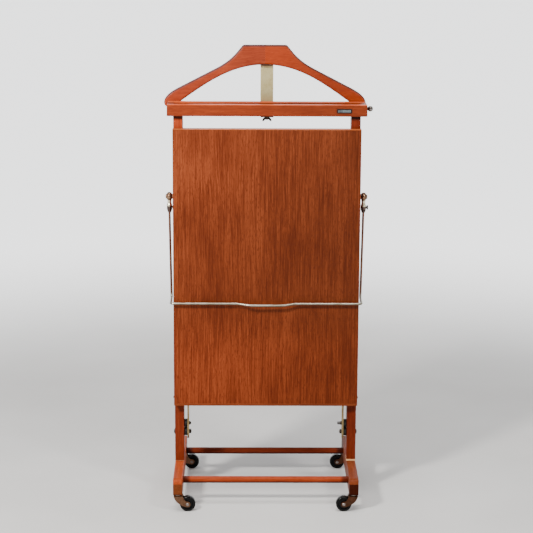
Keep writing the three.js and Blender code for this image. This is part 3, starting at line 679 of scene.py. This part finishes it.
for name, side in SIDES:
    y, pivot, stop = PRESS["y"], PRESS["pivot"], PRESS["stop"]
    pivot_bore, stop_bore = PRESS["pivot_bore"], PRESS["stop_bore"]
    blade = (arc(y, 148, 12, 180, 360, 16)
             + [(y + 12, 201), (y + 4, 219), (y + 2, 258), (-42.7, 258), (-42.7, 236),
                (y - 12, 211)])
    reach = stop - pivot
    slot_at = [(y + reach * math.cos(math.radians(a)), pivot + reach * math.sin(math.radians(a)))
               for a in (78, 90)]
    slot_shape = (arc(y, pivot, reach + stop_bore, 78, 90, 4)
                  + arc(*slot_at[1], stop_bore, 90, 270, 10)[1:-1]
                  + arc(y, pivot, reach - stop_bore, 90, 78, 4)
                  + arc(*slot_at[0], stop_bore, -102, 78, 10)[1:-1])
    arm = combine("UNION", slab(blade, "x", *span(side, PRESS["arm_in"], PRESS["arm_out"])),
                  block(*span(side, 160, 188.7), -42.7, -39.7, 234, 257.9))
    arm = combine("DIFFERENCE", arm, bar("x", pivot_bore, *span(side, 150, 200), y, pivot),
                  slab(slot_shape, "x", *span(side, 180, 200)))
    show(f"{name}_press_arm_plate", soften(arm, 0.4, 2, 50), "press", arm_brass,
         [f"{name}_press_arm"])
    for label, z, bore in (("pivot", pivot, pivot_bore), ("stop", stop, stop_bore)):
        ring = [(bore, 189.1), (10.2, 189.1), (10.2, 196.2), (bore, 196.2)]
        bush = turned([(r, side * p) for r, p in ring], "x", y, z, 56)
        show(f"{name}_{label}_bush_ring", soften(bush, 0.9, 3, 60), "root",
             bush_plastic, [f"{name}_{label}_bush"])
    nut = slab(hexagon(y, pivot, 5.7), "x", *span(side, 180.0, 184.5))
    shank = bar("x", 3, *span(side, 179, 219), y, pivot)
    head = turned([(0, side * 218.8)] + dome(6.5, 218.8, 3.0, side), "x", y, pivot)
    show(f"{name}_pivot_bolt_and_nut", soften(combine("UNION", shank, nut, head), 0.4, 2, 50),
         "root", black_steel, [f"{name}_pivot_bolt"])
    parts = [bar("x", 2.5, *span(side, 180, 216.5), y, stop)]
    if side < 0:
        parts.append(turned([(0, -184.5), (4.5, -184.5), (4.5, -182.5), (3.4, -181.3),
                             (0, -181.1)], "x", y, stop))
    else:
        parts.append(turned([(0, 184.5), (4.5, 184.5), (4.5, 182), (3.6, 180), (0, 180)],
                            "x", y, stop))
        parts.append(slab(rounded(174, 182, y - 8, y + 8, 3), "z", stop - 1.2, stop + 1.2))
    show(f"{name}_stop_bolt_head", soften(combine("UNION", *parts), 0.4, 2, 50),
         "root", black_steel, [f"{name}_stop_bolt"])
    screw = ([(0, side * 207.5), (1.5, side * 207.5), (1.5, side * 219.8)]
             + dome(3.2, 219.8, 1.8, side))
    show(f"{name}_board_screw_head", turned(screw, "x", -53, 247, 32), "press",
         black_steel, [f"{name}_board_screw"])

# ------------------------------------------------------------------ bail
BAIL = {"radius": 2.75, "y": -22, "z": 730, "arm": 229, "foot": 225.5, "top": 714, "knee": 688,
        "cross_y": -75, "cross_z": 482, "bend": 8}
# The middle of the cross rod leans forward and down, over this much of the rod.
GRIP = {"half": 74, "rise": 42, "forward": 8, "down": 2.6, "steps": 48}
EYE = {"radius": 10, "flat": 7, "half": 5.9}


def round_corner(a, corner, b, radius, steps=8):
    """Points of a soft bend between two straight runs."""
    corner = Vector(corner)
    start = corner + (Vector(a) - corner).normalized() * radius
    end = corner + (Vector(b) - corner).normalized() * radius
    return [(1 - t) ** 2 * start + 2 * t * (1 - t) * corner + t * t * end
            for t in (i / steps for i in range(steps + 1))]


def bail_side(side):
    """The rod from its eye down to the start of the grip."""
    top = (side * BAIL["arm"], BAIL["y"], BAIL["top"])
    knee = (side * BAIL["arm"], BAIL["y"], BAIL["knee"])
    low = (side * BAIL["foot"], BAIL["y"], BAIL["cross_z"] + 5)
    bend = (side * BAIL["foot"], BAIL["cross_y"], BAIL["cross_z"])
    grip = (side * GRIP["half"], BAIL["cross_y"], BAIL["cross_z"])
    return [Vector(top), *round_corner(top, knee, low, BAIL["bend"], 4),
            *round_corner(knee, low, bend, BAIL["bend"]),
            *round_corner(low, bend, grip, BAIL["bend"]), Vector(grip)]


grip_points = []
for i in range(1, GRIP["steps"]):
    x = -GRIP["half"] + 2 * GRIP["half"] * i / GRIP["steps"]
    lean = max(0.0, min(1.0, (GRIP["half"] - abs(x)) / GRIP["rise"]))
    lean = lean * lean * (3 - 2 * lean)
    grip_points.append(Vector((x, BAIL["cross_y"] - GRIP["forward"] * lean,
                               BAIL["cross_z"] - GRIP["down"] * lean)))
wire = rod(bail_side(-1) + grip_points + bail_side(1)[::-1], BAIL["radius"])
show("bail_wire", soften(wire, 0.5, 2, 60), "bail", bail_steel, ["bail_rod"])

for name, side in SIDES:
    x, y, z = side * BAIL["arm"], BAIL["y"], BAIL["z"]
    half, flat = EYE["half"], EYE["flat"]
    barrel = [(EYE["radius"] * math.cos(math.radians(a)) ** 0.35,
               x + half * math.sin(math.radians(a))) for a in range(-75, 76, 15)]
    knuckle = turned([(0, x - half), (flat, x - half)] + barrel[1:-1]
                     + [(flat, x + half), (0, x + half)], "x", y, z, 56)
    shank = turned([(0, 692), (3.8, 692), (4.3, 693.2), (6.2, 699), (6.4, 700.5), (6.4, 709),
                    (6.0, 710.5), (4.7, 713.5), (4.4, 717), (5.0, 722), (5.8, 726), (0, 727)],
                   "z", x, y, 48)
    show(f"{name}_bail_eye_casting", combine("UNION", knuckle, shank), "bail", eye_brass,
         [f"{name}_bail_eye"], 40)
    pin = [(0, 198.5), (3, 198.5), (3, 218.8), (5.6, 218.8), (6, 219.2), (6, 222.4), (5.6, 222.8),
           (3, 222.8), (3, 235.2), (5.2, 235.2), (5.6, 235.6), (5.4, 236.8), (4.6, 237.5),
           (2.5, 238), (0, 238)]
    show(f"{name}_bail_pin_rivet", turned([(r, side * p) for r, p in pin], "x", y, z, 48),
         "root", pin_bronze, [f"{name}_bail_pin"])
    start, length = x + 6.5, 3.2 if side < 0 else 4.8
    thread = turned([(0, x + 3.05), (1.5, x + 3.05), (1.5, start), (2.6, start),
                     (2.2, start + length), (0, start + length)], "x", y, 704.5, 32)
    wing = slab(rounded(start + 1, start + length, 699.5, 709.5, 0.8), "y", y - 0.9, y + 0.9)
    show(f"{name}_clamp_screw_wing", soften(combine("UNION", thread, wing), 0.3, 2, 50),
         f"{name}_clamp_screw", black_steel, [f"{name}_clamp_screw"])

# ------------------------------------------------------------------ hanger
HANGER = {"shift": -4.4, "y": 40, "half": 11.5, "sweep": 0.042, "edge": 5}
CLAMP = {"y": -22, "bore": 3.3, "travel": 20}


def hanger_half(side):
    """One half of the hanger, with round edges everywhere but at the joint in the middle."""
    outline = [(0.02, 1081), (47, 1081)]
    outline += bezier((47, 1081), (54, 1081), (55, 1076), (63, 1067), 10)
    outline += bezier((63, 1067), (74, 1053), (90, 1039), (112, 1027.4))
    outline += bezier((112, 1027.4), (143, 1011.5), (174, 995.7), (205, 979.8), 8)
    outline += bezier((205, 979.8), (220, 972), (237.8, 960.5), (237.8, 947))
    outline += bezier((237.8, 947), (237.8, 936), (226, 931.5), (214, 938.6), 10)
    outline += bezier((214, 938.6), (145, 986.7), (86, 1034.7), (0.02, 1035.2), 26)
    bm = slab([(side * x, z) for x, z in outline], "y", HANGER["y"] - HANGER["half"],
              HANGER["y"] + HANGER["half"])
    soften(bm, HANGER["edge"], 6, 60,
           lambda e: max(abs(v.co.x) for v in e.verts) > 0.2)
    for vert in bm.verts:
        vert.co.y -= HANGER["sweep"] * abs(vert.co.x)
        vert.co.x += HANGER["shift"]
    return bm


show("hanger_left_wood", hanger_half(-1), "hanger", hanger_left_wood,
     ["hanger_left_half"])
show("hanger_right_wood", hanger_half(1), "hanger", hanger_right_wood,
     ["hanger_right_half"])

# The strip runs under the tray, up behind it and back below the hanger.
under, top = 923.7, 1033.9
profile = ([(-48, under), (-48, under - 3)] + arc(14, under + 3, 6, -90, 0, 8)
           + arc(23, top - 6, 3, 180, 90, 8) + [(50, top - 3), (50, top)]
           + arc(23, top - 6, 6, 90, 180, 8) + arc(14, under + 3, 3, 0, -90, 8))
slot_cut = slab(arc(0, CLAMP["y"], CLAMP["bore"], 0, 180, 12)
                + arc(0, CLAMP["y"] - CLAMP["travel"], CLAMP["bore"], 180, 360, 12), "z", 915, 925)
strip = combine("DIFFERENCE", slab(profile, "x", -15, 15), slot_cut,
                *[bar("z", 2, 1020, 1040, x, 38, 24) for x in (-8, 8)])
show("hanger_strip_metal", soften(strip, 0.5, 2, 50), "hanger", pale_brass,
     ["hanger_strip"])
for name, side in SIDES:
    head = turned([(0, 1028.9), (2.2, 1029), (3.2, 1029.8), (3.5, 1031.2), (1.7, 1031.2),
                   (1.7, 1046), (0, 1046)], "z", side * 8, 38, 36)
    slot_mark = block(side * 8 - 3.6, side * 8 + 3.6, 37.6, 38.4, 1028, 1029.7)
    show(f"hanger_{name}_screw_head", combine("DIFFERENCE", head, slot_mark), "hanger",
         steel, [f"hanger_{name}_screw"])

sunk = turned([(0, 912.0), (2.6, 912.0), (3, 912.5), (3, 924.8), (6, 927.8), (0, 927.8)],
              "z", 0, CLAMP["y"], 40)
bolt_slot = block(-6.2, 6.2, CLAMP["y"] - 0.6, CLAMP["y"] + 0.6, 926.8, 929)
show("clamp_bolt_steel", combine("DIFFERENCE", sunk, bolt_slot), "root", knob_steel,
     ["clamp_bolt"])
washer = turned([(CLAMP["bore"], 918.9), (8, 918.9), (8, 920.4), (CLAMP["bore"], 920.4)],
                "z", 0, CLAMP["y"], 40)
show("clamp_washer_ring", soften(washer, 0.3, 2, 60), "root", steel, ["clamp_washer"])
nut_parts = [turned([(0, 912.8), (4.6, 912.8), (5.2, 913.6), (6.2, 918.0), (5.8, 918.6),
                     (0, 918.6)], "z", 0, CLAMP["y"], 40)]
for side in (-1, 1):
    wing = ([(3.2, 917.4), (3.2, 913.6), (5.6, 911.0)]
            + bezier((5.6, 911.0), (7.4, 908.4), (9.8, 907.6), (10.9, 909.4), 8)
            + bezier((10.9, 909.4), (11.2, 912.6), (8.8, 916.0), (6.0, 917.0), 8))
    nut_parts.append(slab([(side * x, z) for x, z in wing], "y", CLAMP["y"] - 2.2,
                          CLAMP["y"] + 2.2))
nut = combine("UNION", *nut_parts)
nut = combine("DIFFERENCE", nut, bar("z", CLAMP["bore"], 900, 920, 0, CLAMP["y"], 32))
show("wing_nut_casting", soften(nut, 0.5, 2, 55), "wing_nut", black_steel,
     ["wing_nut"])

# ------------------------------------------------------------------ casters
CASTER = {"x": 207.5, "trail": 23, "wheel": 18.5, "half": 7.5, "cheek_in": 8.4, "cheek_out": 10,
          "fork_top": 40}


def caster_fork():
    """A fork bent from sheet: an upturned channel, trimmed to the outline of its cheeks."""
    out, inner, top = CASTER["cheek_out"], CASTER["cheek_in"], CASTER["fork_top"]
    channel = (arc(-out + 3, top - 3, 3, 180, 90, 6) + arc(out - 3, top - 3, 3, 90, 0, 6)
               + [(out, 8), (inner, 8)] + arc(inner - 1.6, top - 3.6, 1.6, 0, 90, 6)
               + arc(-inner + 1.6, top - 3.6, 1.6, 90, 180, 6) + [(-inner, 8), (-out, 8)])
    sheet = slab(channel, "x", -14, 34)
    outline = ([(-10, top + 1), (-10, top - 1)]
               + bezier((-10, top - 1), (-8.7, 31), (-4.4, 24.4), (3, 19.5), 12)
               + bezier((3, 19.5), (9, 15.2), (15.5, 11.7), (23, 11.7), 10)
               + arc(23, CASTER["wheel"], 6.8, -90, 90, 16)[1:]
               + bezier((23, 25.3), (17.5, 25.5), (13.5, 30), (12, top - 1), 12) + [(12, top + 1)])
    fork = combine("INTERSECT", sheet, slab(outline, "y", -12, 12))
    fork = combine("DIFFERENCE", fork, bar("z", 4.3, 30, 45, 0, 0, 32),
                   bar("y", 2.5, -14, 14, CASTER["trail"], CASTER["wheel"], 28))
    return soften(fork, 0.35, 2, 50)


def caster_wheel():
    half = CASTER["half"]
    side = [(2.5, half - 0.6), (5.4, half - 0.6), (6.0, half - 1.0), (6.6, half - 2.0),
            (11.2, half - 2.0), (12.0, half - 1.4), (12.6, half - 0.2), (13.2, half),
            (15.7, half), (16.7, half - 0.4), (17.8, half - 1.3), (18.4, half - 2.6),
            (18.5, half - 4.5)]
    profile = side + [(r, -p) for r, p in reversed(side)]
    return turned(profile, "y", CASTER["trail"], CASTER["wheel"], 72)


def caster_axle():
    rivet = [(0, -11.9), (1.6, -11.8), (2.8, -11.4), (3.6, -10.8), (3.6, -10.3), (2.2, -10.3)]
    return turned(rivet + [(r, -p) for r, p in reversed(rivet)], "y", CASTER["trail"],
                  CASTER["wheel"], 36)


def caster_stem():
    return turned([(0, 36.2), (5.2, 36.2), (6, 36.8), (6, 37.7), (4, 37.7), (4, 40.3), (9.4, 40.3),
                   (10, 40.7), (10, 41.3), (9.6, 41.7), (4, 41.7), (4, 63.2), (3.2, 64), (0, 64)],
                  "z", 0, 0, 40)


for name, side in SIDES:
    for end, depth in CASTER_Y:
        where = Matrix.Translation((side * CASTER["x"], depth, 0))
        if side > 0:
            where = where @ Matrix.Rotation(math.pi, 4, "Z")
        caster = f"{name}_{end}_caster"
        for label, make, body, slot, material in (
                ("fork", caster_fork, caster, "bronze", bronze),
                ("wheel", caster_wheel, f"{name}_{end}_wheel", "wheel_black", wheel_plastic),
                ("axle", caster_axle, caster, "steel", rivet_steel),
                ("stem", caster_stem, "root", "steel", steel)):
            bm = make()
            bm.transform(where)
            show(f"{caster}_{label}_shown", bm, body, material, [f"{caster}_{label}"])

# ------------------------------------------------------------------ floor, light and camera
# The floor turns pale and bright from one distance to another, in metres from the stand.
FLOOR = {"half": 140.0, "near": 1.0, "far": 3.2, "glow": 1.6}
# Steps of the studio's light, as (from, to, share before, share after), and the least of it.
TOWARDS_BACK, UPWARDS, LEAST_LIGHT = (-0.2, 0.6, 0.06, 2.2), (0.25, 0.7, 1.0, 0.2), 0.08
LAMP = {"distance": 2.6, "colour": (1.0, 0.97, 0.92), "aim": Vector((0, 0, 0.6))}
# The camera as it was fitted to the straight edges in the photograph.
CAMERA = {"place": (-0.0475, -4.0425, 1.4263), "yaw": 0.012, "pitch": 0.212, "roll": 0.005,
          "lens": 116.71}

floor = Finish("floor", Roughness=0.6, Specular_IOR_Level=0.2, Emission_Color=(0.98, 0.99, 1.0, 1))
speckle = floor.noise(floor.stretch(floor.place, (3, 3, 3)), 4).outputs[0]
away = floor.add("ShaderNodeVectorMath", {0: floor.place}, operation="LENGTH").outputs["Value"]
far = floor.between(away, FLOOR["near"], FLOOR["far"])
near_tone = floor.ramp(speckle, (0.3, (0.50, 0.495, 0.49)), (0.7, (0.55, 0.545, 0.54)))
floor.set("Base Color", floor.mix(far, near_tone, (0.62, 0.62, 0.62)))
floor.set("Emission Strength", floor.math("MULTIPLY", far, FLOOR["glow"]))
ground_mesh = bpy.data.meshes.new("floor")
ground_mesh.from_pydata([(x * FLOOR["half"], y * FLOOR["half"], 0)
                         for x, y in ((-1, -1), (1, -1), (1, 1), (-1, 1))], [], [(0, 1, 2, 3)])
ground_mesh.materials.append(floor.material)
ground = bpy.data.objects.new("floor", ground_mesh)
bpy.context.scene.collection.objects.link(ground)

# A studio that is bright low behind the stand and dim overhead and in front of it.
world = bpy.data.worlds.new("studio")
world.use_nodes = True
tree = world.node_tree
towards = tree.nodes.new("ShaderNodeSeparateXYZ")
tree.links.new(tree.nodes.new("ShaderNodeTexCoord").outputs["Generated"], towards.inputs[0])


def world_step(value, low, high, from_share, to_share):
    """A smooth step from one share of the light to another, along a direction."""
    node = tree.nodes.new("ShaderNodeMapRange")
    node.interpolation_type = "SMOOTHSTEP"
    tree.links.new(value, node.inputs["Value"])
    for key, number in (("From Min", low), ("From Max", high),
                        ("To Min", from_share), ("To Max", to_share)):
        node.inputs[key].default_value = number
    return node.outputs[0]


strength = tree.nodes.new("ShaderNodeMath")
strength.operation = "MULTIPLY_ADD"
tree.links.new(world_step(towards.outputs["Y"], *TOWARDS_BACK), strength.inputs[0])
tree.links.new(world_step(towards.outputs["Z"], *UPWARDS), strength.inputs[1])
strength.inputs[2].default_value = LEAST_LIGHT
background = tree.nodes["Background"]
background.inputs["Color"].default_value = (0.95, 0.97, 1.0, 1)
tree.links.new(strength.outputs[0], background.inputs["Strength"])
bpy.context.scene.world = world

sun_data = bpy.data.lights.new("sun", "SUN")
sun_data.energy, sun_data.angle, sun_data.color = 2.4, 0.5, (1.0, 0.98, 0.95)
sun = bpy.data.objects.new("sun", sun_data)
sun.rotation_euler = Vector((-0.05, -0.2, 1.0)).to_track_quat("Z", "Y").to_euler()
bpy.context.scene.collection.objects.link(sun)


def area_light(name, azimuth, height, size, power):
    """A square soft light. Azimuth 0 is in front of the stand and positive to the user's right."""
    data = bpy.data.lights.new(name, "AREA")
    data.size, data.energy, data.color = size, power, LAMP["colour"]
    light = bpy.data.objects.new(name, data)
    a, h = math.radians(azimuth), math.radians(height)
    outwards = Vector((math.sin(a) * math.cos(h), -math.cos(a) * math.cos(h), math.sin(h)))
    light.location = LAMP["aim"] + LAMP["distance"] * outwards
    light.rotation_euler = (light.location - LAMP["aim"]).to_track_quat("Z", "Y").to_euler()
    bpy.context.scene.collection.objects.link(light)


area_light("key", azimuth=-35, height=31, size=0.3, power=105)
area_light("second", azimuth=38, height=35, size=0.35, power=32)

camera_data = bpy.data.cameras.new("camera")
camera_data.sensor_width = 36
camera_data.lens = CAMERA["lens"]
camera_data.clip_end = 200
camera = bpy.data.objects.new("camera", camera_data)
yaw, pitch, roll = CAMERA["yaw"], CAMERA["pitch"], CAMERA["roll"]
forward = Vector((math.sin(yaw) * math.cos(pitch), math.cos(yaw) * math.cos(pitch),
                  -math.sin(pitch)))
right = Vector((math.cos(yaw), -math.sin(yaw), 0))
up = right.cross(forward)
across = right * math.cos(roll) + up * math.sin(roll)
above = up * math.cos(roll) - right * math.sin(roll)
turn = Matrix((across, above, -forward)).transposed().to_4x4()
camera.matrix_world = Matrix.Translation(CAMERA["place"]) @ turn
bpy.context.scene.collection.objects.link(camera)
bpy.context.scene.camera = camera
